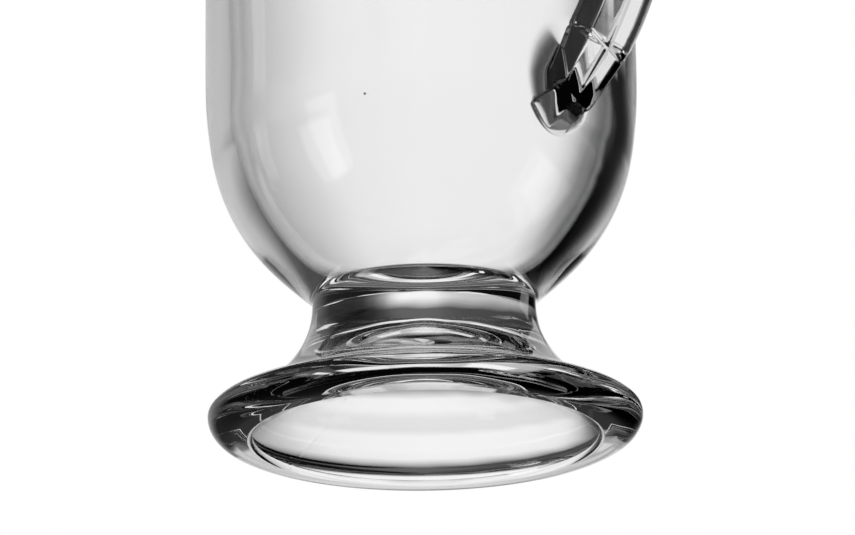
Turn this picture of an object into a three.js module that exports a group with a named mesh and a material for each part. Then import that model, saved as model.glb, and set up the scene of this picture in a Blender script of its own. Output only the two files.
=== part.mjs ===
// A footed glass mug: a bowl on a hollow pedestal foot, and a faceted handle on two pads.
// Millimetres, +Z up. The origin is on the surface that the mug stands on, under the middle of its box.
// The handle reaches towards +X.

import * as THREE from 'three';

// Foot: a rounded edge, a narrow standing ring under it and a hollow inside.
const FOOT_RADIUS = 37.6;
const FOOT_WIDEST_HEIGHT = 4.05;
const FOOT_EDGE_HEIGHT = 5.8;
const FOOT_EDGE_ROUND = 3.4;
const FOOT_UNDERCUT = 4.8;
const STANDING_RING_WIDTH = 1.9;
const HOLLOW_LIP_WIDTH = 1;
const HOLLOW_LIP_HEIGHT = 1;
const HOLLOW_SLOPE = 44.8;
const HOLLOW_SPRING = 5.2;
const HOLLOW_CROWN = 11.5;

// Stem: the foot's flare narrows to the neck, and the solid glass round the joint with the bowl.
const NECK_RADIUS = 19.45;
const NECK_HEIGHT = 24.4;
const FLARE_SLOPE = 20;
const FLARE_PULL = 8.7;
const NECK_PULL = 8.95;
const JOINT_DROP = 3.4;
const STEM_WEB = 6.85;
const BOTTOM_THICKNESS = 2.5;

// Bowl: a crease over the neck, a round lower part and a straight wall up to a rounded rim.
const HEIGHT = 138;
const BOWL_RADIUS = 38.1;
const SHOULDER_RISE = 39.4;
const CREASE_RADIUS = 1.8;
const CREASE_TURN = 47.7;
const BOWL_SPRING = 10.5;
const SHOULDER_PULL = 24;
const WALL = 4.6;
const RIM_WALL = 3.8;
const INSIDE_SHOULDER_DROP = 3.9;
const INSIDE_ROUNDNESS = 1.82;

// Handle: a bar of eight sides that leaves the lower pad at a slant and meets the upper pad level.
const BAR_WIDTH = 10;
const BAR_DEPTH = 12;
const BAR_CHAMFER = 2.9;
const HANDLE_REACH = 70;
const LOWER_ARM_ANGLE = 45.4;
const LOWER_JOINT_REACH = 9;
const LOWER_JOINT_DROP = 3.6;
const UPPER_JOINT_REACH = 8;
const UPPER_JOINT_DROP = 21;
const HANDLE_TOP_RISE = 19;
const LOWER_ARM_PULL = 12;
const OUTER_LOWER_PULL = 8;
const OUTER_UPPER_PULL = 11;
const UPPER_ARM_PULL = 10;

// Pads: the blocks between the bar's ends and the wall. Each tapers to an end, or to just over the
// wall where that comes first, and steps down there to an oval collar that runs out on the wall.
const PAD_LENGTH = 10.8;
const PAD_END_WIDTH = 8;
const PAD_END_DEPTH = 9;
const COLLAR_WIDTH = 16.8;
const COLLAR_HEIGHT = 21.6;
const COLLAR_STAND = 1.8;
const COLLAR_STEP = 2.3;
const COLLAR_STEP_SHARE = 0.38;
const COLLAR_STEP_RUN = 0.03;
const LOWER_COLLAR_DROP = 7.3;
const WALL_GAP = 0.3;
const JOINT_GAP = 0.3;

// Fineness of the curves.
const ROUND_SEGMENTS = 60;
const CURVE_STEPS = 10;
const ARC_STEPS = 4;
const NECK_STEPS = 2;
const HANDLE_STEPS = 40;
const PAD_STEPS = 6;
const COLLAR_CROWDING = 1.5;
const BISECTIONS = 50;
const SAME_POINT = 1e-6;

// Places that follow from the sizes above. Outlines are (distance from the mug's axis, height).
const JOINT_HEIGHT = NECK_HEIGHT - JOINT_DROP;
const SHOULDER_HEIGHT = NECK_HEIGHT + SHOULDER_RISE;
const AXIS_X = (Math.max(BOWL_RADIUS, FOOT_RADIUS) - HANDLE_REACH) / 2;
const SIDEWAYS = new THREE.Vector3(0, 1, 0);

const at = (radius, height) => new THREE.Vector2(radius, height);
const radians = THREE.MathUtils.degToRad;
const arc = (x, y, rx, ry, from, to) =>
  new THREE.EllipseCurve(x, y, rx, ry, radians(from), radians(to), to < from).getPoints(ARC_STEPS);

// The outside of the foot from the top of its edge up to the neck.
function flareCurve() {
  const start = at(FOOT_RADIUS - FOOT_EDGE_ROUND, FOOT_EDGE_HEIGHT);
  const slope = radians(FLARE_SLOPE);
  const leaving = at(start.x - FLARE_PULL * Math.cos(slope), start.y + FLARE_PULL * Math.sin(slope));
  const neck = at(NECK_RADIUS, NECK_HEIGHT);
  return new THREE.CubicBezierCurve(start, leaving, at(neck.x, neck.y - NECK_PULL), neck);
}

// The outside of the bowl from the end of the crease up to the straight wall.
function bowlCurve() {
  const turn = radians(CREASE_TURN);
  const start = at(
    NECK_RADIUS + CREASE_RADIUS * (1 - Math.cos(turn)),
    NECK_HEIGHT + CREASE_RADIUS * Math.sin(turn),
  );
  const leaving = at(start.x + BOWL_SPRING * Math.sin(turn), start.y + BOWL_SPRING * Math.cos(turn));
  const shoulder = at(BOWL_RADIUS, SHOULDER_HEIGHT);
  const arriving = at(shoulder.x, shoulder.y - SHOULDER_PULL);
  return new THREE.CubicBezierCurve(start, leaving, arriving, shoulder);
}

// The share of the way, from nought to one, up to which a test holds.
function shareWhile(holds) {
  let low = 0;
  let high = 1;
  for (let i = 0; i < BISECTIONS; i += 1) {
    const middle = (low + high) / 2;
    if (holds(middle)) low = middle;
    else high = middle;
  }
  return high;
}

// The place along a rising curve that lies at a height.
function parameterAtHeight(curve, height) {
  return shareWhile((share) => curve.getPoint(share).y < height);
}

// Points along part of a curve, both ends included.
function stretch(curve, from, to, steps) {
  return Array.from({ length: steps + 1 }, (_, i) => curve.getPoint(from + ((to - from) * i) / steps));
}

// Stretches of outline end to end, with each shared end kept once.
function joined(...stretches) {
  const kept = [];
  for (const point of stretches.flat()) {
    if (kept.length === 0 || point.distanceTo(kept.at(-1)) > SAME_POINT) kept.push(point);
  }
  return kept;
}

function revolved(outline) {
  return new THREE.LatheGeometry(outline, ROUND_SEGMENTS).rotateX(Math.PI / 2);
}

// The inside of the bowl below its straight wall: a quarter of a superellipse, down to the axis.
function insideBottom() {
  const shoulder = SHOULDER_HEIGHT - INSIDE_SHOULDER_DROP;
  const bottom = JOINT_HEIGHT + BOTTOM_THICKNESS;
  const rounded = Array.from({ length: CURVE_STEPS }, (_, i) => {
    const angle = (i / CURVE_STEPS) * (Math.PI / 2);
    const out = Math.cos(angle) ** (2 / INSIDE_ROUNDNESS);
    const down = Math.sin(angle) ** (2 / INSIDE_ROUNDNESS);
    return at((BOWL_RADIUS - WALL) * out, shoulder - (shoulder - bottom) * down);
  });
  return [...rounded, at(0, bottom)];
}

function bowlGeometry() {
  const flare = flareCurve();
  const creaseMiddle = NECK_RADIUS + CREASE_RADIUS;
  const rimRadius = RIM_WALL / 2;
  return revolved(joined(
    [at(0, JOINT_HEIGHT)],
    stretch(flare, parameterAtHeight(flare, JOINT_HEIGHT), 1, NECK_STEPS),
    arc(creaseMiddle, NECK_HEIGHT, CREASE_RADIUS, CREASE_RADIUS, 180, 180 - CREASE_TURN),
    bowlCurve().getPoints(CURVE_STEPS),
    arc(BOWL_RADIUS - rimRadius, HEIGHT - rimRadius, rimRadius, rimRadius, 0, 180),
    insideBottom(),
  ));
}

function footGeometry() {
  const ringOutside = FOOT_RADIUS - FOOT_UNDERCUT;
  const ringInside = ringOutside - STANDING_RING_WIDTH;
  const crown = at(0, JOINT_HEIGHT - STEM_WEB);
  const lip = at(ringInside - HOLLOW_LIP_WIDTH, HOLLOW_LIP_HEIGHT);
  const slope = radians(HOLLOW_SLOPE);
  const arriving = at(lip.x - HOLLOW_SPRING * Math.cos(slope), lip.y + HOLLOW_SPRING * Math.sin(slope));
  const hollow = new THREE.CubicBezierCurve(crown, at(HOLLOW_CROWN, crown.y), arriving, lip);
  const edgeRise = FOOT_EDGE_HEIGHT - FOOT_WIDEST_HEIGHT;
  const edgeTop = FOOT_RADIUS - FOOT_EDGE_ROUND;
  const flare = flareCurve();
  return revolved(joined(
    hollow.getPoints(CURVE_STEPS),
    arc(ringInside, HOLLOW_LIP_HEIGHT, HOLLOW_LIP_WIDTH, HOLLOW_LIP_HEIGHT, 180, 270),
    arc(ringOutside, FOOT_WIDEST_HEIGHT, FOOT_UNDERCUT, FOOT_WIDEST_HEIGHT, 270, 360),
    arc(edgeTop, FOOT_WIDEST_HEIGHT, FOOT_EDGE_ROUND, edgeRise, 0, 90),
    stretch(flare, 0, parameterAtHeight(flare, JOINT_HEIGHT), CURVE_STEPS),
    [at(0, JOINT_HEIGHT)],
  ));
}

// A joint of the bar with a pad: its middle, and the way from the bar into the wall.
function barJoint(radius, height, angle) {
  return {
    middle: new THREE.Vector3(radius, 0, height),
    inward: new THREE.Vector3(-Math.cos(radians(angle)), 0, -Math.sin(radians(angle))),
  };
}

function lowerJoint() {
  const radius = BOWL_RADIUS + LOWER_JOINT_REACH;
  return barJoint(radius, SHOULDER_HEIGHT - LOWER_JOINT_DROP, LOWER_ARM_ANGLE);
}

function upperJoint() {
  return barJoint(BOWL_RADIUS + UPPER_JOINT_REACH, HEIGHT - UPPER_JOINT_DROP, 0);
}

// The corners of the bar's section, anticlockwise: across the bar, and along its depth.
function barCorners() {
  const across = BAR_WIDTH / 2;
  const deep = BAR_DEPTH / 2;
  const quarter = [at(across, deep - BAR_CHAMFER), at(across - BAR_CHAMFER, deep)];
  const half = [...quarter, at(-quarter[1].x, quarter[1].y), at(-quarter[0].x, quarter[0].y)];
  return [...half, ...half.map((corner) => at(-corner.x, -corner.y))];
}

function handleGeometry() {
  const lower = lowerJoint();
  const upper = upperJoint();
  const outermost = new THREE.Vector3(
    HANDLE_REACH - BAR_DEPTH / 2,
    0,
    upper.middle.z - HANDLE_TOP_RISE,
  );
  const centreLine = new THREE.CurvePath();
  centreLine.add(new THREE.CubicBezierCurve3(
    lower.middle,
    lower.middle.clone().addScaledVector(lower.inward, -LOWER_ARM_PULL),
    new THREE.Vector3(outermost.x, 0, outermost.z - OUTER_LOWER_PULL),
    outermost,
  ));
  centreLine.add(new THREE.CubicBezierCurve3(
    outermost,
    new THREE.Vector3(outermost.x, 0, outermost.z + OUTER_UPPER_PULL),
    upper.middle.clone().addScaledVector(upper.inward, -UPPER_ARM_PULL),
    upper.middle,
  ));
  return new THREE.ExtrudeGeometry(new THREE.Shape(barCorners()), {
    steps: HANDLE_STEPS,
    extrudePath: centreLine,
    bevelEnabled: false,
  });
}

function wallRadius(height) {
  if (height >= SHOULDER_HEIGHT) return BOWL_RADIUS;
  const curve = bowlCurve();
  return curve.getPoint(parameterAtHeight(curve, height)).x;
}

// A point of a section across the bar, carried past the joint towards the wall.
function pointPast(joint, corner, distance) {
  const outward = new THREE.Vector3().crossVectors(joint.inward, SIDEWAYS);
  return joint.middle.clone()
    .addScaledVector(SIDEWAYS, corner.x)
    .addScaledVector(outward, corner.y)
    .addScaledVector(joint.inward, distance);
}

// The bar's section with each side cut into equal steps, so that a pad's foot can follow the round wall.
function barOutline() {
  const corners = barCorners();
  return corners.flatMap((corner, i) => {
    const next = corners[(i + 1) % corners.length];
    return Array.from({ length: PAD_STEPS }, (_, k) => corner.clone().lerp(next, k / PAD_STEPS));
  });
}

// A place by the wall is (distance round the wall, height).
// A point's stand is how far out it lies from the gap over the wall.
function wallPoint(place, stand) {
  const radius = wallRadius(place.y) + WALL_GAP + stand;
  const angle = place.x / BOWL_RADIUS;
  return new THREE.Vector3(radius * Math.cos(angle), radius * Math.sin(angle), place.y);
}

function placeOf(point) {
  return at(BOWL_RADIUS * Math.atan2(point.y, point.x), point.z);
}

function standOf(point) {
  return Math.hypot(point.x, point.y) - wallRadius(point.z) - WALL_GAP;
}

// One line of a pad's side: from the joint to the end of its taper, and the collar's edge beyond it.
function padSide(joint, collarMiddle, corner) {
  const start = pointPast(joint, corner, JOINT_GAP);
  const endCorner = at(corner.x * (PAD_END_WIDTH / BAR_WIDTH), corner.y * (PAD_END_DEPTH / BAR_DEPTH));
  const full = pointPast(joint, endCorner, PAD_LENGTH);
  const share = shareWhile((part) => standOf(start.clone().lerp(full, part)) > COLLAR_STAND);
  const end = start.clone().lerp(full, share);
  const away = placeOf(end).sub(collarMiddle);
  const reach = Math.hypot(away.x / (COLLAR_WIDTH / 2), away.y / (COLLAR_HEIGHT / 2));
  return { start, end, edge: away.divideScalar(reach) };
}

// How far out the collar lies, from the pad's end (share nought) to its edge on the wall (one):
// a short step down, then an even slope, or a hollow one where the pad is near the wall.
function collarStand(stand, share) {
  const step = Math.min(COLLAR_STEP, COLLAR_STEP_SHARE * stand);
  const top = stand - step * (1 - Math.exp(-share / COLLAR_STEP_RUN));
  return top * (1 - share) ** (1 + (COLLAR_STAND / stand) ** 2);
}

function padRings(joint, collarHeight) {
  const collarMiddle = at(0, collarHeight);
  const sides = barOutline().map((corner) => padSide(joint, collarMiddle, corner));
  const steps = Array.from({ length: PAD_STEPS }, (_, k) => (k + 1) / PAD_STEPS);
  const collarRings = steps.map((step) => sides.map(({ end, edge }) => {
    const share = step ** COLLAR_CROWDING;
    const place = placeOf(end).lerp(collarMiddle.clone().add(edge), share);
    return wallPoint(place, collarStand(standOf(end), share));
  }));
  const wallRings = steps.slice(0, -1).map((step) => sides.map(({ edge }) =>
    wallPoint(collarMiddle.clone().addScaledVector(edge, 1 - step), 0)));
  return [
    [pointPast(joint, at(0, 0), JOINT_GAP)],
    sides.map(({ start }) => start),
    sides.map(({ end }) => end),
    ...collarRings,
    ...wallRings,
    [wallPoint(collarMiddle, 0)],
  ];
}

// A closed skin over rings of equal length, drawn together to a point at both ends.
function skinned(rings) {
  const count = rings[1].length;
  const corner = (ring, i) => ring[i % ring.length];
  const triangles = [];
  for (let k = 0; k + 1 < rings.length; k += 1) {
    for (let i = 0; i < count; i += 1) {
      const [a, b] = [corner(rings[k], i), corner(rings[k], i + 1)];
      const [c, d] = [corner(rings[k + 1], i + 1), corner(rings[k + 1], i)];
      if (a !== b) triangles.push(a, b, c);
      if (c !== d) triangles.push(a, c, d);
    }
  }
  return new THREE.BufferGeometry().setFromPoints(triangles);
}

function glass(name, geometry) {
  const material = new THREE.MeshStandardMaterial({
    color: 0xe9eeee,
    roughness: 0.04,
    metalness: 0,
    transparent: true,
    opacity: 0.35,
  });
  const mesh = new THREE.Mesh(geometry, material);
  mesh.name = name;
  return mesh;
}

const mug = new THREE.Group();
mug.position.x = AXIS_X;
mug.add(
  glass('bowl', bowlGeometry()),
  glass('pedestal_foot', footGeometry()),
  glass('handle', handleGeometry()),
  glass('lower_handle_pad', skinned(padRings(lowerJoint(), SHOULDER_HEIGHT - LOWER_COLLAR_DROP))),
  glass('upper_handle_pad', skinned(padRings(upperJoint(), HEIGHT - UPPER_JOINT_DROP))),
);

export default mug;
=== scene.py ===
"""The glass mug as it looks: smooth glass over the CAD frame, a pale floor, studio light and the camera."""

import math

import bmesh
import bpy
import numpy as np
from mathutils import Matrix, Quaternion, Vector


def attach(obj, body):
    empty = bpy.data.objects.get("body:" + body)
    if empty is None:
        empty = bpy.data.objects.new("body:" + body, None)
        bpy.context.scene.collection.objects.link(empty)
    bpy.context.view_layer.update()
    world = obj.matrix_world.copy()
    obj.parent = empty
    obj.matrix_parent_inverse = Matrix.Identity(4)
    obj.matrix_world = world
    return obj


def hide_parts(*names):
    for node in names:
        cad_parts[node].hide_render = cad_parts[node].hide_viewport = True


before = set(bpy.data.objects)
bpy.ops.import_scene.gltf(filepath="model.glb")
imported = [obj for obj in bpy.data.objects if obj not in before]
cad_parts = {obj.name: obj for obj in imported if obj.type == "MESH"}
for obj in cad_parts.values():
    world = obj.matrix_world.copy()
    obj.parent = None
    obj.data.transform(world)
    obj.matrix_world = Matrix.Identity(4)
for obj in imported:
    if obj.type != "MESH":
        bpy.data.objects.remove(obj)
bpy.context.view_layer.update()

# Sizes in millimetres, as in the CAD. Outlines are (distance from the mug's axis, height).
AXIS_X = -15.95
FOOT_RADIUS = 37.6
FOOT_WIDEST_HEIGHT = 4.05
FOOT_EDGE_HEIGHT = 5.8
FOOT_EDGE_ROUND = 3.4
FOOT_UNDERCUT = 4.8
STANDING_RING_WIDTH = 1.9
HOLLOW_LIP_WIDTH = 1
HOLLOW_LIP_HEIGHT = 1
HOLLOW_SLOPE = 44.8
HOLLOW_SPRING = 5.2
HOLLOW_CROWN = 11.5
NECK_RADIUS = 19.45
NECK_HEIGHT = 24.4
FLARE_SLOPE = 20
FLARE_PULL = 8.7
NECK_PULL = 8.95
JOINT_HEIGHT = 21
STEM_WEB = 6.85
BOTTOM_THICKNESS = 2.5
HEIGHT = 138
BOWL_RADIUS = 38.1
SHOULDER_HEIGHT = 63.8
CREASE_RADIUS = 1.8
CREASE_TURN = 47.7
BOWL_SPRING = 10.5
SHOULDER_PULL = 24
WALL = 4.6
RIM_WALL = 3.8
INSIDE_SHOULDER_HEIGHT = 59.9
INSIDE_ROUNDNESS = 1.82
BAR_WIDTH = 10
BAR_DEPTH = 12
BAR_CHAMFER = 2.9
LOWER_JOINT = (47.1, 60.2)
LOWER_ARM_ANGLE = 45.4
UPPER_JOINT = (46.1, 117)
OUTERMOST = (64, 98)
LOWER_ARM_PULL = 12
OUTER_LOWER_PULL = 8
OUTER_UPPER_PULL = 11
UPPER_ARM_PULL = 10
PAD_LENGTH = 10.8
PAD_END_WIDTH = 8
PAD_END_DEPTH = 9
COLLAR_WIDTH = 16.8
COLLAR_HEIGHT = 21.6
COLLAR_STAND = 1.8
COLLAR_STEP = 2.3
COLLAR_STEP_SHARE = 0.38
COLLAR_STEP_RUN = 0.03
COLLAR_CROWDING = 1.5
COLLAR_FILLET = 0.15
LOWER_COLLAR_HEIGHT = 56.5

# The reach of the softened shoulder, and how far under the shoulder it begins, counted in that reach.
SHOULDER_SOFTNESS = 9
SOFTENING_DEPTH = 2

# The glass's small marks of making. The hair is the space left between two fused pieces.
EDGE_CRISPNESS = 60
GROOVE_DEPTH = 0.04
GROOVE_WIDTH = 0.3
WAVE_REACH = 10
SEAM_TURN = 6
SEAM_RISE = 0.03
SEAM_WIDTH = 0.4
HAIR = 0.004

# How far the hot joints run up the bar at each of its corners, from the inner left one by the outer side.
JOINT_WAVE = (-0.5, 1.75, 0.3, -1.5, -0.6, -0.8, -0.6, -0.5)
END_WAVE = (-1.9, 2.5, 0.1, -0.95, -0.4, -0.4, -0.6, -1.2)

# Waves on the foot: how many go round, how far each leans for a millimetre of outline, and its phase.
RIPPLES = ((4, 0.21, 0.3), (7, -0.37, 1.9), (12, 0.55, 4.1), (19, -0.8, 2.6))
RIPPLE_RISE = 0.02
RIPPLE_LEAST = 0.25
RIPPLE_TURN = 25
RIPPLE_FADE = 4

# Columns round the axis, and the square window of the wall round each pad.
COLUMNS = 304
SEAM_CROWDING = 0.85
WINDOW_COLUMNS = 44
WINDOW_RISE = 14.5
WINDOW_ROWS = 24

# Samples of the curves that the outlines are read from.
FLARE_SAMPLES = 2001
BOWL_SAMPLES = 4001
WALL_SAMPLES = 6001
SOFTENING_SAMPLES = 25
BISECTIONS = 40

# Rows of the bowl, from the joint up the outside and down the inside.
NECK_STEPS = 8
CREASE_STEPS = 16
LOW_BOWL_SAMPLES = 400
LOW_BOWL_STRIDE = 7
ROW_SPACE = 0.3
BETWEEN_ROWS = 20
TOP_ROWS = 5
RIM_STEPS = 24
INSIDE_WALL_ROWS = 12
INSIDE_SHOULDER_ROWS = 43
INSIDE_BOTTOM_ROWS = 70

# Rows of the foot, from the hollow's crown by the standing ring up to the joint.
HOLLOW_ROWS = 71
LIP_STEPS = 20
LOW_EDGE_STEPS = 40
HIGH_EDGE_STEPS = 24
STEM_STEPS = 70

# Rows of the bar and the pads. The groove's are at distances from a joint, the others at shares of a length.
GROOVE_STEPS = np.array([0, 0.06, 0.12, 0.19, 0.27, 0.36, 0.48, 0.64, 0.9, 1.4])
LOWER_ARM_FROM = 0.09
LOWER_ARM_ROWS = 50
UPPER_ARM_TO = 0.9
UPPER_ARM_ROWS = 46
PAD_GROOVE_SHARE = 0.15
PAD_FROM = 0.25
PAD_ROWS = 9
COLLAR_ROWS = 40
CAP_STEPS = 8
PATCH_STEPS = 8

# Metres in a millimetre, the distance under which points merge, and the least angle of a hard edge.
MM = 0.001
MERGE = 2e-7
SHARP = math.radians(38)

# A piece's materials: clear glass, and the fused joints.
GLASS, WELD = 0, 1

# Values that follow from the sizes.
INSIDE_BOTTOM = JOINT_HEIGHT + BOTTOM_THICKNESS
RIM_MIDDLE = (BOWL_RADIUS - RIM_WALL / 2, HEIGHT - RIM_WALL / 2)
LOWER_ANGLE = math.radians(LOWER_ARM_ANGLE)
UPPER_ANGLE = 0.0


def bezier(start, leaving, arriving, end, t):
    """Points on a cubic curve, given by its ends and the points that it leaves and arrives by, at each t."""
    t = np.asarray(t)[:, None]
    parts = ((1 - t) ** 3, 3 * (1 - t) ** 2 * t, 3 * (1 - t) * t**2, t**3)
    return sum(part * np.asarray(p, float) for part, p in zip(parts, (start, leaving, arriving, end)))


def ellipse(middle, radii, start, end, steps):
    """Points on an arc of an ellipse, between two angles in degrees."""
    a = np.radians(np.linspace(start, end, steps + 1))
    return np.c_[middle[0] + radii[0] * np.cos(a), middle[1] + radii[1] * np.sin(a)]


def flare(t):
    """The foot's outside from the top of its edge up to the neck."""
    start = np.array([FOOT_RADIUS - FOOT_EDGE_ROUND, FOOT_EDGE_HEIGHT])
    slope = math.radians(FLARE_SLOPE)
    leaving = start + FLARE_PULL * np.array([-math.cos(slope), math.sin(slope)])
    return bezier(start, leaving, (NECK_RADIUS, NECK_HEIGHT - NECK_PULL), (NECK_RADIUS, NECK_HEIGHT), t)


def bowl_curve(t):
    """The bowl's outside from the end of the crease up to the straight wall."""
    turn = math.radians(CREASE_TURN)
    start = np.array([
        NECK_RADIUS + CREASE_RADIUS * (1 - math.cos(turn)),
        NECK_HEIGHT + CREASE_RADIUS * math.sin(turn),
    ])
    leaving = start + BOWL_SPRING * np.array([math.sin(turn), math.cos(turn)])
    shoulder = np.array([BOWL_RADIUS, SHOULDER_HEIGHT])
    return bezier(start, leaving, shoulder - (0, SHOULDER_PULL), shoulder, t)


FLARE_POINTS = flare(np.linspace(0, 1, FLARE_SAMPLES))
BOWL_POINTS = bowl_curve(np.linspace(0, 1, BOWL_SAMPLES))


def soften(radius, heights, shoulder):
    """A wall's radius at each height, as a mean of those near it, whose reach fades under the shoulder."""
    offsets = np.linspace(-1, 1, SOFTENING_SAMPLES)
    weights = (1 - offsets**2) / (1 - offsets**2).sum()
    reach = SHOULDER_SOFTNESS * np.clip((heights - shoulder) / SHOULDER_SOFTNESS + SOFTENING_DEPTH, 0, 1)
    return radius(heights[:, None] + reach[:, None] * offsets) @ weights


def bowl_radius(height):
    """The bowl's outside before it is softened: the bowl's curve over the crease, then the straight wall."""
    return np.interp(height, BOWL_POINTS[:, 1], BOWL_POINTS[:, 0])


def inside_radius(height):
    """The cup's inside before it is softened: part of a superellipse, then a wall that thins to the rim."""
    down = np.clip((INSIDE_SHOULDER_HEIGHT - height) / (INSIDE_SHOULDER_HEIGHT - INSIDE_BOTTOM), 0, 1)
    low = (BOWL_RADIUS - WALL) * (1 - down**INSIDE_ROUNDNESS) ** (1 / INSIDE_ROUNDNESS)
    return low + np.interp(height, (INSIDE_SHOULDER_HEIGHT, RIM_MIDDLE[1]), (0, WALL - RIM_WALL))


WALL_HEIGHTS = np.linspace(BOWL_POINTS[0, 1], HEIGHT, WALL_SAMPLES)
WALL_RADII = soften(bowl_radius, WALL_HEIGHTS, SHOULDER_HEIGHT)


def wall_radius(height):
    """The bowl's outside radius at each height over the crease."""
    return np.interp(height, WALL_HEIGHTS, WALL_RADII)


def flare_part(low, high, steps):
    """The flare between two heights, in steps of equal height."""
    z = np.linspace(low, high, steps + 1)
    return np.c_[np.interp(z, FLARE_POINTS[:, 1], FLARE_POINTS[:, 0]), z]


def columns():
    """Angles round the axis, crowded towards the handle's plane, where the mould's seam runs."""
    a = np.arange(COLUMNS) * 2 * np.pi / COLUMNS
    return a - SEAM_CROWDING / 2 * np.sin(2 * a)


def seam(angle, radius):
    """The foot's seam: a narrow bell across a plane near the handle's, on both sides of the mug."""
    across = radius * np.sin(angle - math.radians(SEAM_TURN))
    return SEAM_RISE * np.exp(-((across / SEAM_WIDTH) ** 2))


def around(outline, angles, rise=0):
    """An outline carried round the axis: each point's radius, with a small rise, and height at each angle."""
    outline = np.asarray(outline)
    r, z = outline[:, :1] + rise, outline[:, 1:]
    return np.stack([AXIS_X + r * np.cos(angles), r * np.sin(angles), z + 0 * angles], -1)


def ripple(along, angles):
    """Waves left by the hot tool: sines round the foot that lean along its outline, strongest on one side."""
    waves = sum(np.sin(count * angles + lean * along + phase) for count, lean, phase in RIPPLES)
    side = np.cos((angles - math.radians(RIPPLE_TURN)) / 2) ** 2
    return RIPPLE_RISE * (RIPPLE_LEAST + (1 - RIPPLE_LEAST) * side) * waves


def on_wall(place, stand=0):
    """Points off the bowl's outside by a stand, at places given as (distance round the wall, height)."""
    angle = place[..., 0] / BOWL_RADIUS
    r = wall_radius(place[..., 1]) + stand
    return np.stack([AXIS_X + r * np.cos(angle), r * np.sin(angle), place[..., 1]], -1)


def place_of(points):
    """Where points lie on the wall, as (distance round the wall, height)."""
    return np.stack([BOWL_RADIUS * np.arctan2(points[..., 1], points[..., 0] - AXIS_X), points[..., 2]], -1)


def stand_of(points):
    """How far points stand off the bowl's outside."""
    return np.hypot(points[..., 0] - AXIS_X, points[..., 1]) - wall_radius(points[..., 2])


class Skin:
    """Grids of points, gathered into one closed mesh whose shared edges are merged."""

    def __init__(self):
        self.points, self.faces, self.slots = [], [], []
        self.count = 0

    def add(self, grid, slot=GLASS, holes=()):
        """Adds a grid that closes round its columns, with quads between neighbours and none in the holes."""
        rows, cols = grid.shape[:2]
        index = np.arange(rows * cols).reshape(rows, cols) + self.count
        right = np.roll(index, -1, 1)
        quads = np.stack([index[:-1], right[:-1], right[1:], index[1:]], -1)
        keep = np.ones(quads.shape[:2], bool)
        for r0, r1, c0, c1 in holes:
            keep[r0:r1, np.arange(c0, c1) % cols] = False
        quads = quads[keep]
        self.points.append(grid.reshape(-1, 3))
        self.faces.append(quads)
        self.slots.append(np.full(len(quads), slot))
        self.count += rows * cols

    def piece(self, name, materials, node, slot_name):
        """Makes the object, puts it in the place of its CAD node and lets it ride on the mug's body."""
        mesh = bpy.data.meshes.new(name)
        points = np.concatenate(self.points) * MM
        mesh.from_pydata(points, [], np.concatenate(self.faces))
        mesh.polygons.foreach_set("material_index", np.concatenate(self.slots).astype(np.int32))
        work = bmesh.new()
        work.from_mesh(mesh)
        bmesh.ops.remove_doubles(work, verts=work.verts, dist=MERGE)
        bmesh.ops.dissolve_degenerate(work, edges=work.edges, dist=MERGE)
        bmesh.ops.recalc_face_normals(work, faces=work.faces)
        work.to_mesh(mesh)
        work.free()
        for material in materials:
            mesh.materials.append(material)
        mesh.polygons.foreach_set("use_smooth", np.ones(len(mesh.polygons), bool))
        mesh.set_sharp_from_angle(angle=SHARP)
        piece = bpy.data.objects.new(name, mesh)
        bpy.context.scene.collection.objects.link(piece)
        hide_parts(node)
        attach(piece, "root")


# The joints of the bar with its pads, and each pad's foot on the wall.

def soft_octagon(angle):
    """The bar's edge in each direction from its middle: eight flats whose corners a high power softens."""
    flats = np.radians(np.arange(0, 360, 45))
    across, deep = BAR_WIDTH / 2, BAR_DEPTH / 2
    slant = (across + deep - BAR_CHAMFER) / math.sqrt(2)
    distances = np.tile([across, slant, deep, slant], 2)
    lean = np.maximum(np.cos(angle[:, None] - flats) / distances, 0)
    return (lean**EDGE_CRISPNESS).sum(1) ** (-1 / EDGE_CRISPNESS)


ANGLES = columns()
WINDOW_ARC = ANGLES[WINDOW_COLUMNS] * BOWL_RADIUS
WINDOW_STEPS = np.linspace(-WINDOW_RISE, WINDOW_RISE, WINDOW_ROWS + 1)


def window_loop():
    """The edge of a pad's window, once round, as (distance round the wall, height) from its middle."""
    arc = np.r_[-ANGLES[WINDOW_COLUMNS:0:-1], ANGLES[: WINDOW_COLUMNS + 1]] * BOWL_RADIUS
    bottom = np.c_[arc[:-1], np.full(len(arc) - 1, -WINDOW_RISE)]
    right = np.c_[np.full(WINDOW_ROWS, WINDOW_ARC), WINDOW_STEPS[:-1]]
    return np.vstack([bottom, right, -bottom, -right])


LOOP = window_loop()
TURNS = np.arctan2(LOOP[:, 1], LOOP[:, 0])
SECTION = soft_octagon(TURNS)[:, None] * np.c_[np.cos(TURNS), -np.sin(TURNS)]


def corner_wave(values):
    """Values at the bar's eight corners, run evenly from each to the next round the section."""
    across, deep = BAR_WIDTH / 2, BAR_DEPTH / 2
    outer = np.array([(-across, deep - BAR_CHAMFER), (BAR_CHAMFER - across, deep)])
    half = np.vstack([outer, outer[::-1] * (-1, 1)])
    corners = np.vstack([half[:1] * (1, -1), half, half[:0:-1] * (1, -1)])
    places = np.arctan2(-corners[:, 1], corners[:, 0])
    return np.interp(TURNS, places, values, period=2 * np.pi)


BEGIN_WAVE = corner_wave(JOINT_WAVE)
CLOSE_WAVE = corner_wave(END_WAVE)


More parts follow.
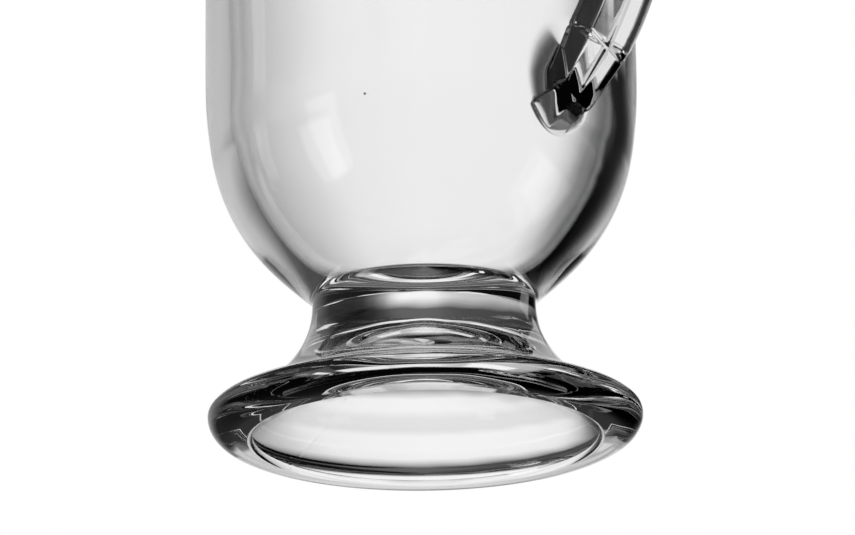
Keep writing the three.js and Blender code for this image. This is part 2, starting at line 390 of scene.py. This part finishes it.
def joint_point(joint, angle, section, beyond):
    """Points of the bar's section at a joint, carried on into the wall by a distance along the bar."""
    inward = np.array([-math.cos(angle), 0, -math.sin(angle)])
    outward = np.array([-inward[2], 0, inward[0]])
    middle = np.array([joint[0] + AXIS_X, 0, joint[1]])
    across = section[..., :1] * np.array([0, 1, 0])
    return middle + across + section[..., 1:] * outward + np.asarray(beyond)[..., None] * inward


def groove(distance):
    """The share of its full size that the section keeps near a joint: a narrow dip at distance nought."""
    return 1 - GROOVE_DEPTH * np.exp(-((distance / GROOVE_WIDTH) ** 2))


def pad_shape(joint, angle, section, collar_height):
    """A pad's lines from the joint to the end of its taper, with the collar's middle and edge on the wall."""
    begin = joint_point(joint, angle, section, HAIR - BEGIN_WAVE)
    end_section = section * (PAD_END_WIDTH / BAR_WIDTH, PAD_END_DEPTH / BAR_DEPTH)
    full = joint_point(joint, angle, end_section, PAD_LENGTH - CLOSE_WAVE)
    low, high = np.zeros((len(section), 1)), np.ones((len(section), 1))
    for _ in range(BISECTIONS):
        middle = (low + high) / 2
        clear = stand_of(begin + middle * (full - begin))[:, None] > COLLAR_STAND
        low, high = np.where(clear, middle, low), np.where(clear, high, middle)
    end = begin + high * (full - begin)
    collar_middle = np.array([0, collar_height])
    away = place_of(end) - collar_middle
    edge = away / np.linalg.norm(away / (COLLAR_WIDTH / 2, COLLAR_HEIGHT / 2), axis=1, keepdims=True)
    return begin, end, collar_middle, edge


def cap_places(middle, edge):
    """Rings of wall from an edge in to its middle."""
    share = np.linspace(1, 0, CAP_STEPS + 1)[:, None, None]
    return middle + share * edge


UPPER_SECTION = SECTION * (1, -1)
UPPER_LOOP = LOOP * (1, -1)
LOWER_PAD = pad_shape(LOWER_JOINT, LOWER_ANGLE, SECTION, LOWER_COLLAR_HEIGHT)
UPPER_PAD = pad_shape(UPPER_JOINT, UPPER_ANGLE, UPPER_SECTION, UPPER_JOINT[1])


def joint_disc(height):
    """The flat joint between the bowl and the foot, in rings from the outside to the axis."""
    ring = around(flare_part(height, NECK_HEIGHT, 1)[:1], ANGLES)[0]
    middle = np.array([AXIS_X, 0, height])
    share = np.linspace(1, 0, CAP_STEPS + 1)[:, None, None]
    return middle + share * (ring - middle)


def make_bowl(materials):
    """The cup: neck, crease, outside with a window at each pad, rim, inside and the joint under it."""
    skin = Skin()
    lower, upper = LOWER_COLLAR_HEIGHT + WINDOW_STEPS, UPPER_JOINT[1] + WINDOW_STEPS
    neck = flare_part(JOINT_HEIGHT, NECK_HEIGHT, NECK_STEPS)
    crease_middle = (NECK_RADIUS + CREASE_RADIUS, NECK_HEIGHT)
    crease = ellipse(crease_middle, (CREASE_RADIUS,) * 2, 180, 180 - CREASE_TURN, CREASE_STEPS)
    low = bowl_curve(np.linspace(0, 1, LOW_BOWL_SAMPLES))
    low = low[low[:, 1] < lower[0] - ROW_SPACE][::LOW_BOWL_STRIDE]
    between = np.linspace(lower[-1], upper[0], BETWEEN_ROWS)[1:-1]
    top = np.linspace(upper[-1], RIM_MIDDLE[1], TOP_ROWS)[1:-1]
    heights = np.r_[lower, between, upper, top]
    wall = np.c_[wall_radius(heights), heights]
    rim = ellipse(RIM_MIDDLE, (RIM_WALL / 2,) * 2, 0, 180, RIM_STEPS)
    around_shoulder = SHOULDER_SOFTNESS * np.linspace(1, -SOFTENING_DEPTH, INSIDE_SHOULDER_ROWS)
    shoulder = INSIDE_SHOULDER_HEIGHT + around_shoulder
    down_wall = np.r_[np.linspace(RIM_MIDDLE[1], shoulder[0], INSIDE_WALL_ROWS), shoulder[1:]]
    inside_wall = np.c_[soften(inside_radius, down_wall, INSIDE_SHOULDER_HEIGHT), down_wall]
    down = np.sin(np.linspace(0, np.pi / 2, INSIDE_BOTTOM_ROWS)) ** (2 / INSIDE_ROUNDNESS)
    deep = INSIDE_SHOULDER_HEIGHT - (INSIDE_SHOULDER_HEIGHT - INSIDE_BOTTOM) * down
    deep = deep[deep < shoulder[-1] - ROW_SPACE]
    bottom = np.c_[inside_radius(deep), deep]
    bottom[-1, 0] = 0
    outline = np.vstack([neck, crease[1:], low[1:], wall, rim, inside_wall[1:], bottom])
    first = len(neck) + len(crease) - 1 + len(low) - 1
    second = first + len(lower) + len(between)
    span = (-WINDOW_COLUMNS, WINDOW_COLUMNS)
    holes = [(k, k + WINDOW_ROWS, *span) for k in (first, second)]
    skin.add(around(outline, ANGLES), holes=holes)
    for (_, _, middle, edge), loop in ((LOWER_PAD, LOOP), (UPPER_PAD, UPPER_LOOP)):
        share = np.linspace(0, 1, PATCH_STEPS + 1)[:, None, None]
        skin.add(on_wall(middle + loop * (1 - share) + edge * share))
        skin.add(on_wall(cap_places(middle, edge)), slot=WELD)
    skin.add(joint_disc(JOINT_HEIGHT), slot=WELD)
    skin.piece("bowl_glass", materials, "bowl", "bowl_glass")


def make_foot(materials):
    """The stem and foot: hollow, lip, standing ring, round edge and flare, closed by the joint over it."""
    skin = Skin()
    ring_outside = FOOT_RADIUS - FOOT_UNDERCUT
    ring_inside = ring_outside - STANDING_RING_WIDTH
    crown = np.array([0, JOINT_HEIGHT - STEM_WEB])
    lip = np.array([ring_inside - HOLLOW_LIP_WIDTH, HOLLOW_LIP_HEIGHT])
    slope = math.radians(HOLLOW_SLOPE)
    arriving = lip + HOLLOW_SPRING * np.array([-math.cos(slope), math.sin(slope)])
    hollow = bezier(crown, (HOLLOW_CROWN, crown[1]), arriving, lip, np.linspace(0, 1, HOLLOW_ROWS))
    lip_radii = (HOLLOW_LIP_WIDTH, HOLLOW_LIP_HEIGHT)
    lip_arc = ellipse((ring_inside, HOLLOW_LIP_HEIGHT), lip_radii, 180, 270, LIP_STEPS)
    low_radii = (FOOT_UNDERCUT, FOOT_WIDEST_HEIGHT)
    low_edge = ellipse((ring_outside, FOOT_WIDEST_HEIGHT), low_radii, 270, 360, LOW_EDGE_STEPS)
    high_middle = (FOOT_RADIUS - FOOT_EDGE_ROUND, FOOT_WIDEST_HEIGHT)
    high_radii = (FOOT_EDGE_ROUND, FOOT_EDGE_HEIGHT - FOOT_WIDEST_HEIGHT)
    high_edge = ellipse(high_middle, high_radii, 0, 90, HIGH_EDGE_STEPS)
    stem = flare_part(FOOT_EDGE_HEIGHT, JOINT_HEIGHT - HAIR, STEM_STEPS)
    outside = np.vstack([low_edge, high_edge[1:], stem[1:]])
    skin.add(around(np.vstack([hollow, lip_arc[1:], low_edge[:1]]), ANGLES))
    along = np.r_[0, np.cumsum(np.linalg.norm(np.diff(outside, axis=0), axis=1))][:, None]
    fade = np.clip(np.minimum(along, along[-1] - along) / RIPPLE_FADE, 0, 1)
    rise = ripple(along, ANGLES) + seam(ANGLES, outside[:, :1])
    skin.add(around(outside, ANGLES, fade * rise))
    skin.add(joint_disc(JOINT_HEIGHT - HAIR), slot=WELD)
    skin.piece("pedestal_foot_glass", materials, "pedestal_foot", "foot_glass")


def section_rings(section, joint, angle, beyond):
    """The joint's flat face, in rings from the bar's edge to its middle."""
    share = np.linspace(1, 0, CAP_STEPS + 1)[:, None]
    return joint_point(joint, angle, section * share[..., None] * groove(0.0), beyond - BEGIN_WAVE * share)


def bezier_way(start, leaving, arriving, end, t):
    """The directions of a cubic curve, of unit length."""
    legs = np.diff(np.array([start, leaving, arriving, end], float), axis=0)
    t = np.asarray(t)[:, None]
    parts = ((1 - t) ** 2, 2 * t * (1 - t), t**2)
    way = sum(part * leg for part, leg in zip(parts, legs))
    return way / np.linalg.norm(way, axis=1, keepdims=True)


def make_handle(materials):
    """The bar: its soft octagon carried along two cubic curves that meet upright at the outermost point."""
    skin = Skin()
    along = np.array([math.cos(LOWER_ANGLE), math.sin(LOWER_ANGLE)])
    low, top, outermost = np.array(LOWER_JOINT), np.array(UPPER_JOINT), np.array(OUTERMOST)
    lower_arm = (low, low + LOWER_ARM_PULL * along, outermost - (0, OUTER_LOWER_PULL), outermost)
    upper_arm = (outermost, outermost + (0, OUTER_UPPER_PULL), top + (UPPER_ARM_PULL, 0), top)
    # A cubic curve sets off at three times its pull.
    at_low = GROOVE_STEPS / (3 * LOWER_ARM_PULL)
    at_top = 1 - GROOVE_STEPS[::-1] / (3 * UPPER_ARM_PULL)
    rising = np.r_[at_low, np.linspace(LOWER_ARM_FROM, 1, LOWER_ARM_ROWS)]
    closing = np.r_[np.linspace(0, UPPER_ARM_TO, UPPER_ARM_ROWS)[1:], at_top]
    line = np.vstack([bezier(*lower_arm, rising), bezier(*upper_arm, closing)])
    way = np.vstack([bezier_way(*lower_arm, rising), bezier_way(*upper_arm, closing)])
    outward = np.c_[way[:, 1], np.zeros(len(way)), -way[:, 0]]
    middle = np.c_[line[:, 0] + AXIS_X, np.zeros(len(line)), line[:, 1]]
    length = np.r_[0, np.cumsum(np.linalg.norm(np.diff(line, axis=0), axis=1))]
    kept = (groove(length) * groove(length[-1] - length))[:, None, None]
    section = SECTION[None] * kept
    fade = np.clip(1 - np.c_[length, length[-1] - length] / WAVE_REACH, 0, 1) ** 2
    shift = (fade[:, :1] - fade[:, 1:]) * BEGIN_WAVE
    forward = np.c_[way[:, 0], np.zeros(len(way)), way[:, 1]]
    skin.add(
        middle[:, None]
        + section[..., :1] * np.array([0, 1, 0])
        + section[..., 1:] * outward[:, None]
        + shift[..., None] * forward[:, None]
    )
    skin.add(section_rings(SECTION, LOWER_JOINT, LOWER_ANGLE, 0), slot=WELD)
    skin.add(section_rings(UPPER_SECTION, UPPER_JOINT, UPPER_ANGLE, 0), slot=WELD)
    skin.piece("handle_glass", materials, "handle", "handle_glass")


def make_pad(name, node, joint, angle, section, shape, materials):
    """A pad: straight lines from the bar's section to the end of its taper, then a collar on the wall.

    The collar steps in at the taper's end and falls by a power, whose end a fillet rounds on to the wall."""
    skin = Skin()
    begin, end, middle, edge = shape
    run = np.linalg.norm(end - begin, axis=1)
    near_joint = GROOVE_STEPS / GROOVE_STEPS[-1] * PAD_GROOVE_SHARE
    share = np.r_[near_joint, np.linspace(PAD_FROM, 1, PAD_ROWS)][:, None]
    kept = section * groove(share * run)[..., None]
    skin.add(joint_point(joint, angle, kept, HAIR - BEGIN_WAVE) + share[..., None] * (end - begin))
    t = np.linspace(0, 1, COLLAR_ROWS)[:, None] ** COLLAR_CROWDING
    place = place_of(end) + t[..., None] * (middle + edge - place_of(end))
    stand = stand_of(end) - HAIR
    step = np.minimum(COLLAR_STEP, COLLAR_STEP_SHARE * stand) * (1 - np.exp(-t / COLLAR_STEP_RUN))
    left = 1 - t
    fillet = left * (1 + COLLAR_FILLET) / (left + COLLAR_FILLET)
    fall = left ** (1 + (COLLAR_STAND / stand) ** 2)
    skin.add(on_wall(place, HAIR + fillet * fall * (stand - step)))
    skin.add(on_wall(cap_places(middle, edge), HAIR), slot=WELD)
    skin.add(section_rings(section, joint, angle, HAIR), slot=WELD)
    skin.piece(name, materials, node, "pad_glass")


# Materials. Where the glass turns edge on, over this range of facing, painted shade darkens it to the edge's
# colour.
CLEAR = (0.985, 0.985, 0.985)
GLASS_IOR = 1.52
EDGE_SHADE_FACING = (0.6, 1.0)
EDGE_SHADE_COLOUR = (0.28, 0.29, 0.29)

# Soft waves and smudges: patches along a metre, detail, and height in millimetres or range and roughness.
WAVE_SCALE = 90
WAVE_DETAIL = 1.0
WAVE_HEIGHT = 0.02
SMUDGE_SCALE = 45
SMUDGE_DETAIL = 3.0
SMUDGE_RANGE = (0.58, 0.75)
SMUDGE_ROUGHNESS = 0.02

# Dark specks in the bowl's wall: degrees round from the handle, height and radius. The core is all dark.
SPECKS = ((-55, 50.7, 0.27), (-60.2, 31.6, 0.11), (-48.2, 35.2, 0.11), (12.5, 43.8, 0.13))
SPECK_CORE = 0.6
SPECK_COLOUR = (0.01, 0.01, 0.01)

# Sockets of the mix node when it mixes colours: the share, the two colours and the result.
MIX_SHARE, MIX_FIRST, MIX_SECOND = 0, 6, 7
MIX_RESULT = 2


def new_material(name):
    """A new material, with its node tree and its shader."""
    material = bpy.data.materials.new(name)
    material.use_nodes = True
    return material, material.node_tree, material.node_tree.nodes["Principled BSDF"]


def ramp_node(tree, stops):
    """A colour ramp with the given (position, level) stops."""
    node = tree.nodes.new("ShaderNodeValToRGB")
    elements = node.color_ramp.elements
    while len(elements) > 1:
        elements.remove(elements[0])
    elements[0].position = stops[0][0]
    elements[0].color = (stops[0][1],) * 3 + (1,)
    for position, level in stops[1:]:
        elements.new(position).color = (level,) * 3 + (1,)
    return node


def math_node(tree, operation, *values):
    """The result of one operation on sockets and plain numbers."""
    node = tree.nodes.new("ShaderNodeMath")
    node.operation = operation
    for socket, value in zip(node.inputs, values):
        if isinstance(value, (int, float)):
            socket.default_value = value
        else:
            tree.links.new(value, socket)
    return node.outputs[0]


def mix_colour(tree, share, first, second, blend="MIX"):
    """Two colours mixed by a share; each of the three is a socket or plain values."""
    node = tree.nodes.new("ShaderNodeMix")
    node.data_type = "RGBA"
    node.blend_type = blend
    for place, value in ((MIX_SHARE, share), (MIX_FIRST, first), (MIX_SECOND, second)):
        socket = node.inputs[place]
        if isinstance(value, bpy.types.NodeSocket):
            tree.links.new(value, socket)
        elif isinstance(value, (int, float)):
            socket.default_value = value
        else:
            socket.default_value = (*value, 1)
    return node.outputs[MIX_RESULT]


def noise_node(tree, place, scale, detail):
    """Soft noise over the mug, between nought and one; the scale counts its patches along a metre."""
    node = tree.nodes.new("ShaderNodeTexNoise")
    node.inputs["Scale"].default_value = scale
    node.inputs["Detail"].default_value = detail
    tree.links.new(place, node.inputs["Vector"])
    return node.outputs["Fac"]


def range_node(tree, value, low, high, to_low, to_high):
    """A value moved smoothly from one range to another."""
    node = tree.nodes.new("ShaderNodeMapRange")
    node.interpolation_type = "SMOOTHSTEP"
    tree.links.new(value, node.inputs[0])
    for socket, level in zip(node.inputs[1:5], (low, high, to_low, to_high)):
        socket.default_value = level
    return node.outputs[0]


def marks_group():
    """Small marks of all the glass: soft waves, faint smudges and a few dark specks in the bowl's wall."""
    group = bpy.data.node_groups.new("glass_marks", "ShaderNodeTree")
    for name, kind in (("Height", "Float"), ("Roughness", "Float"), ("Tint", "Color")):
        group.interface.new_socket(name, in_out="OUTPUT", socket_type="NodeSocket" + kind)
    result = group.nodes.new("NodeGroupOutput")
    place = group.nodes.new("ShaderNodeTexCoord").outputs["Object"]
    group.links.new(noise_node(group, place, WAVE_SCALE, WAVE_DETAIL), result.inputs["Height"])
    smudges = noise_node(group, place, SMUDGE_SCALE, SMUDGE_DETAIL)
    rough = range_node(group, smudges, *SMUDGE_RANGE, 0.0, SMUDGE_ROUGHNESS)
    group.links.new(rough, result.inputs["Roughness"])
    dark = 0.0
    for turn, height, radius in SPECKS:
        angle = math.radians(turn)
        distance = group.nodes.new("ShaderNodeVectorMath")
        distance.operation = "DISTANCE"
        group.links.new(place, distance.inputs[0])
        distance.inputs[1].default_value = on_wall(np.array([angle * BOWL_RADIUS, height])) * MM
        core = SPECK_CORE * radius * MM
        spot = range_node(group, distance.outputs["Value"], core, radius * MM, 1.0, 0.0)
        dark = math_node(group, "MAXIMUM", spot, dark)
    group.links.new(mix_colour(group, dark, CLEAR, SPECK_COLOUR), result.inputs["Tint"])
    return group


def make_glass(name, marks):
    """Clear glass with the shared marks, and painted shade that darkens it where it is seen edge on."""
    material, tree, shader = new_material(name)
    shader.inputs["Transmission Weight"].default_value = 1.0
    shader.inputs["IOR"].default_value = GLASS_IOR
    shared = tree.nodes.new("ShaderNodeGroup")
    shared.node_tree = marks
    bump = tree.nodes.new("ShaderNodeBump")
    bump.inputs["Distance"].default_value = WAVE_HEIGHT * MM
    tree.links.new(shared.outputs["Height"], bump.inputs["Height"])
    tree.links.new(bump.outputs[0], shader.inputs["Normal"])
    # Painted shade: the glass's colour is darkened where it is seen edge on.
    facing = tree.nodes.new("ShaderNodeLayerWeight")
    edge = range_node(tree, facing.outputs["Facing"], *EDGE_SHADE_FACING, 0.0, 1.0)
    shaded = mix_colour(tree, edge, shared.outputs["Tint"], EDGE_SHADE_COLOUR, "MULTIPLY")
    tree.links.new(shaded, shader.inputs["Base Color"])
    tree.links.new(shared.outputs["Roughness"], shader.inputs["Roughness"])
    return material


def make_weld():
    """The fused joints inside the glass, where nothing shows."""
    material, _, shader = new_material("fused_joint")
    shader.inputs["Alpha"].default_value = 0.0
    return material


# The camera: its place round and below the mug and its aim from there, in degrees and millimetres. Its clip
# range is in metres.
CAMERA_TURN = -40
CAMERA_RISE = -15.7
CAMERA_DISTANCE = 800
CAMERA_LENS = 195.37
CAMERA_SENSOR = 36
CAMERA_CLIP = (0.01, 50)
AIM_RISE = 17.83
AIM_TURN = 0.05
CAMERA_ROLL = -0.77

# The studio in the photograph's view. Light round the mug: degrees to the right of straight behind, level.
STUDIO_ROUND = (
    (-180, 0.25), (-100, 0.25), (-60, 0.22), (-44, 0.5), (-15, 0.6), (-10, 0.69), (-7, 0.79), (-4, 0.96),
    (0, 1.0), (8, 1.0), (11, 0.78), (14, 0.42), (18, 0.15), (23, 0.03), (28, 0.014), (33, 0.011),
    (44, 0.014), (100, 0.07), (180, 0.25),
)

# How that light changes with height: degrees up, share of the level.
STUDIO_RISE = (
    (-9, 0.124), (6, 1.0), (21.5, 1.0), (25, 0.84), (31, 0.86), (36, 1.0), (43, 1.0), (58, 0.0),
)

# Panels of light: degrees round and up to the middle, half the width and height in degrees, and level.
STUDIO_PANELS = (
    (-119, -23, 10, 15, 1.3),
    (-23, 34, 10, 11, 1.0),
    (22, 35, 11, 9, 0.9),
    (50, 25, 9, 6, 1.0),
    (88, -31, 16, 10, 0.8),
)
PANEL_SOFTNESS = 1.5

# The room in the views from above: the strips of light round it, each from its middle to its edge, and the
# levels from the floor to the ceiling.
ROOM_STRIPS = 8
STRIP_LEVELS = ((0.0, 1.0), (0.5, 0.95), (0.75, 0.4), (1.0, 0.22))
CEILING_LEVELS = ((0.5, 1.0), (0.72, 0.9), (0.85, 0.45), (1.0, 0.7))

# How many clear surfaces a ray may pass: each fused joint counts as two.
CLEAR_BOUNCES = 32


def studio_light(tree, angle, share, sine, height):
    """The light of the photograph's view: the levels round it times those up it, and the panels over them."""
    rounds = ramp_node(tree, [((a + 180) / 360, v) for a, v in STUDIO_ROUND])
    tree.links.new(share, rounds.inputs[0])
    rises = ramp_node(tree, [((math.sin(math.radians(a)) + 1) / 2, v) for a, v in STUDIO_RISE])
    tree.links.new(height, rises.inputs[0])
    studio = mix_colour(tree, 1.0, rounds.outputs[0], rises.outputs[0], "MULTIPLY")
    rise = math_node(tree, "ARCSINE", sine)
    for middle_turn, middle_rise, half_width, half_height, level in STUDIO_PANELS:
        inside = 1.0
        for way, middle, half in ((angle, middle_turn, half_width), (rise, middle_rise, half_height)):
            away = math_node(tree, "ABSOLUTE", math_node(tree, "SUBTRACT", way, math.radians(middle)))
            edges = [math.radians(half + side * PANEL_SOFTNESS) for side in (-1, 1)]
            inside = math_node(tree, "MULTIPLY", range_node(tree, away, *edges, 1.0, 0.0), inside)
        studio = mix_colour(tree, inside, studio, (level,) * 3)
    return studio


def room_light(tree, share, height):
    """The light of the other views: strips round the room, under a ceiling with levels of its own."""
    halves = 2 * ROOM_STRIPS
    strips = ramp_node(tree, STRIP_LEVELS)
    across = math_node(tree, "PINGPONG", share, 1 / halves)
    tree.links.new(math_node(tree, "MULTIPLY", across, halves), strips.inputs[0])
    ceiling = ramp_node(tree, CEILING_LEVELS)
    tree.links.new(height, ceiling.inputs[0])
    return mix_colour(tree, 1.0, strips.outputs[0], ceiling.outputs[0], "MULTIPLY")


def make_world():
    """Light from far away: the studio from under the floor, the room from above, white for the camera."""
    world = bpy.data.worlds.new("studio")
    bpy.context.scene.world = world
    world.use_nodes = True
    tree = world.node_tree
    background = tree.nodes["Background"]
    place = tree.nodes.new("ShaderNodeTexCoord")
    turn = tree.nodes.new("ShaderNodeMapping")
    turn.vector_type = "POINT"
    turn.inputs["Rotation"].default_value = (0, 0, math.radians(-90 - CAMERA_TURN))
    tree.links.new(place.outputs["Generated"], turn.inputs["Vector"])
    split = tree.nodes.new("ShaderNodeSeparateXYZ")
    tree.links.new(turn.outputs[0], split.inputs[0])
    angle = math_node(tree, "ARCTAN2", split.outputs[0], split.outputs[1])
    share = math_node(tree, "MULTIPLY_ADD", angle, 1 / (2 * math.pi), 0.5)
    height = math_node(tree, "MULTIPLY_ADD", split.outputs[2], 0.5, 0.5)
    studio = studio_light(tree, angle, share, split.outputs[2], height)
    room = room_light(tree, share, height)
    path = tree.nodes.new("ShaderNodeLightPath")
    # A ray that came up through the floor has crossed an odd number of clear surfaces.
    odd = math_node(tree, "MODULO", path.outputs["Transparent Depth"], 2.0)
    downward = math_node(tree, "LESS_THAN", split.outputs[2], 0.0)
    from_below = math_node(tree, "MAXIMUM", odd, downward)
    seen = mix_colour(tree, from_below, room, studio)
    shown = mix_colour(tree, path.outputs["Is Camera Ray"], seen, (1, 1, 1))
    tree.links.new(shown, background.inputs["Color"])
    background.inputs["Strength"].default_value = 1.0


# The floor: its rings in metres, its drop under the mug in millimetres, its levels, and the share of its glow
# that is seen through glass.
FLOOR_REACH = 6.0
FLOOR_FIRST_RING = 0.02
FLOOR_RINGS = 40
FLOOR_SPOKES = 96
FLOOR_DROP = 0.05
FLOOR_LEVEL = 0.4
FLOOR_GLOW = 0.6
FLOOR_IN_GLASS = 0.75


def floor_material():
    """The pale floor: matt with a glow, and clear from below and for rays that came up through it."""
    material, tree, shader = new_material("pale_floor")
    tree.nodes.remove(shader)
    output = tree.nodes["Material Output"]
    diffuse = tree.nodes.new("ShaderNodeBsdfDiffuse")
    diffuse.inputs["Color"].default_value = (FLOOR_LEVEL,) * 3 + (1,)
    glow = tree.nodes.new("ShaderNodeEmission")
    glow.inputs["Color"].default_value = (FLOOR_GLOW,) * 3 + (1,)
    lit = tree.nodes.new("ShaderNodeAddShader")
    tree.links.new(diffuse.outputs[0], lit.inputs[0])
    tree.links.new(glow.outputs[0], lit.inputs[1])
    clear = tree.nodes.new("ShaderNodeBsdfTransparent")
    side = tree.nodes.new("ShaderNodeNewGeometry")
    path = tree.nodes.new("ShaderNodeLightPath")
    direct = range_node(tree, path.outputs["Is Camera Ray"], 0.0, 1.0, FLOOR_IN_GLASS, 1.0)
    tree.links.new(direct, glow.inputs["Strength"])
    passed = math_node(tree, "MODULO", path.outputs["Transparent Depth"], 2.0)
    hidden = math_node(tree, "MAXIMUM", side.outputs["Backfacing"], passed)
    mix = tree.nodes.new("ShaderNodeMixShader")
    tree.links.new(hidden, mix.inputs[0])
    tree.links.new(lit.outputs[0], mix.inputs[1])
    tree.links.new(clear.outputs[0], mix.inputs[2])
    tree.links.new(mix.outputs[0], output.inputs["Surface"])
    return material


def make_floor():
    """A flat pale disc under the mug, in rings that widen outwards, seen only from above."""
    rings = np.r_[0, np.geomspace(FLOOR_FIRST_RING, FLOOR_REACH, FLOOR_RINGS)][:, None]
    a = np.linspace(0, 2 * np.pi, FLOOR_SPOKES + 1)
    grid = np.stack([rings * np.cos(a), rings * np.sin(a), 0 * rings * a - FLOOR_DROP * MM], -1)
    index = np.arange(grid[..., 0].size).reshape(grid.shape[:2])
    quads = np.stack([index[:-1, :-1], index[1:, :-1], index[1:, 1:], index[:-1, 1:]], -1)
    mesh = bpy.data.meshes.new("floor")
    mesh.from_pydata(grid.reshape(-1, 3), [], quads.reshape(-1, 4))
    mesh.materials.append(floor_material())
    floor = bpy.data.objects.new("floor", mesh)
    bpy.context.scene.collection.objects.link(floor)


# The lamp: its width in metres, power in watts and place.
LAMP_WIDTH = 0.9
LAMP_POWER = 12
LAMP_PLACE = (-0.25, -0.2, 1.1)


def make_lamp():
    """One large soft lamp over the mug, for the floor and its shadow."""
    data = bpy.data.lights.new("overhead", "AREA")
    data.shape = "DISK"
    data.size = LAMP_WIDTH
    data.energy = LAMP_POWER
    lamp = bpy.data.objects.new("overhead", data)
    lamp.location = LAMP_PLACE
    lamp.rotation_euler = (-lamp.location).to_track_quat("-Z", "Y").to_euler()
    lamp.visible_camera = lamp.visible_transmission = lamp.visible_glossy = False
    bpy.context.scene.collection.objects.link(lamp)


def direction(turn, rise):
    """The unit direction at an angle round the upright axis and an angle up."""
    return Vector((math.cos(turn) * math.cos(rise), math.sin(turn) * math.cos(rise), math.sin(rise)))


def make_camera():
    """The camera below the mug, in front of it and to the handle's left, as the photograph was taken."""
    turn, rise = math.radians(CAMERA_TURN), math.radians(CAMERA_RISE)
    data = bpy.data.cameras.new("camera")
    data.sensor_width = CAMERA_SENSOR
    data.lens = CAMERA_LENS
    data.clip_start, data.clip_end = CAMERA_CLIP
    camera = bpy.data.objects.new("camera", data)
    camera.location = Vector((AXIS_X, 0, 0)) * MM + direction(turn, rise) * CAMERA_DISTANCE * MM
    aim = direction(turn + math.pi - math.radians(AIM_TURN), math.radians(AIM_RISE))
    camera.rotation_mode = "QUATERNION"
    roll = Quaternion((0, 0, 1), math.radians(CAMERA_ROLL))
    camera.rotation_quaternion = aim.to_track_quat("-Z", "Y") @ roll
    bpy.context.scene.collection.objects.link(camera)
    bpy.context.scene.camera = camera


bpy.context.scene.view_settings.view_transform = "Standard"
bpy.context.scene.cycles.transparent_max_bounces = CLEAR_BOUNCES
make_camera()
make_world()
make_floor()
make_lamp()
weld = make_weld()
marks = marks_group()
make_bowl([make_glass("bowl_glass", marks), weld])
make_foot([make_glass("foot_glass", marks), weld])
make_handle([make_glass("handle_glass", marks), weld])
pad_glass = [make_glass("pad_glass", marks), weld]
make_pad("lower_pad_glass", "lower_handle_pad", LOWER_JOINT, LOWER_ANGLE, SECTION, LOWER_PAD, pad_glass)
make_pad("upper_pad_glass", "upper_handle_pad", UPPER_JOINT, UPPER_ANGLE, UPPER_SECTION, UPPER_PAD, pad_glass)
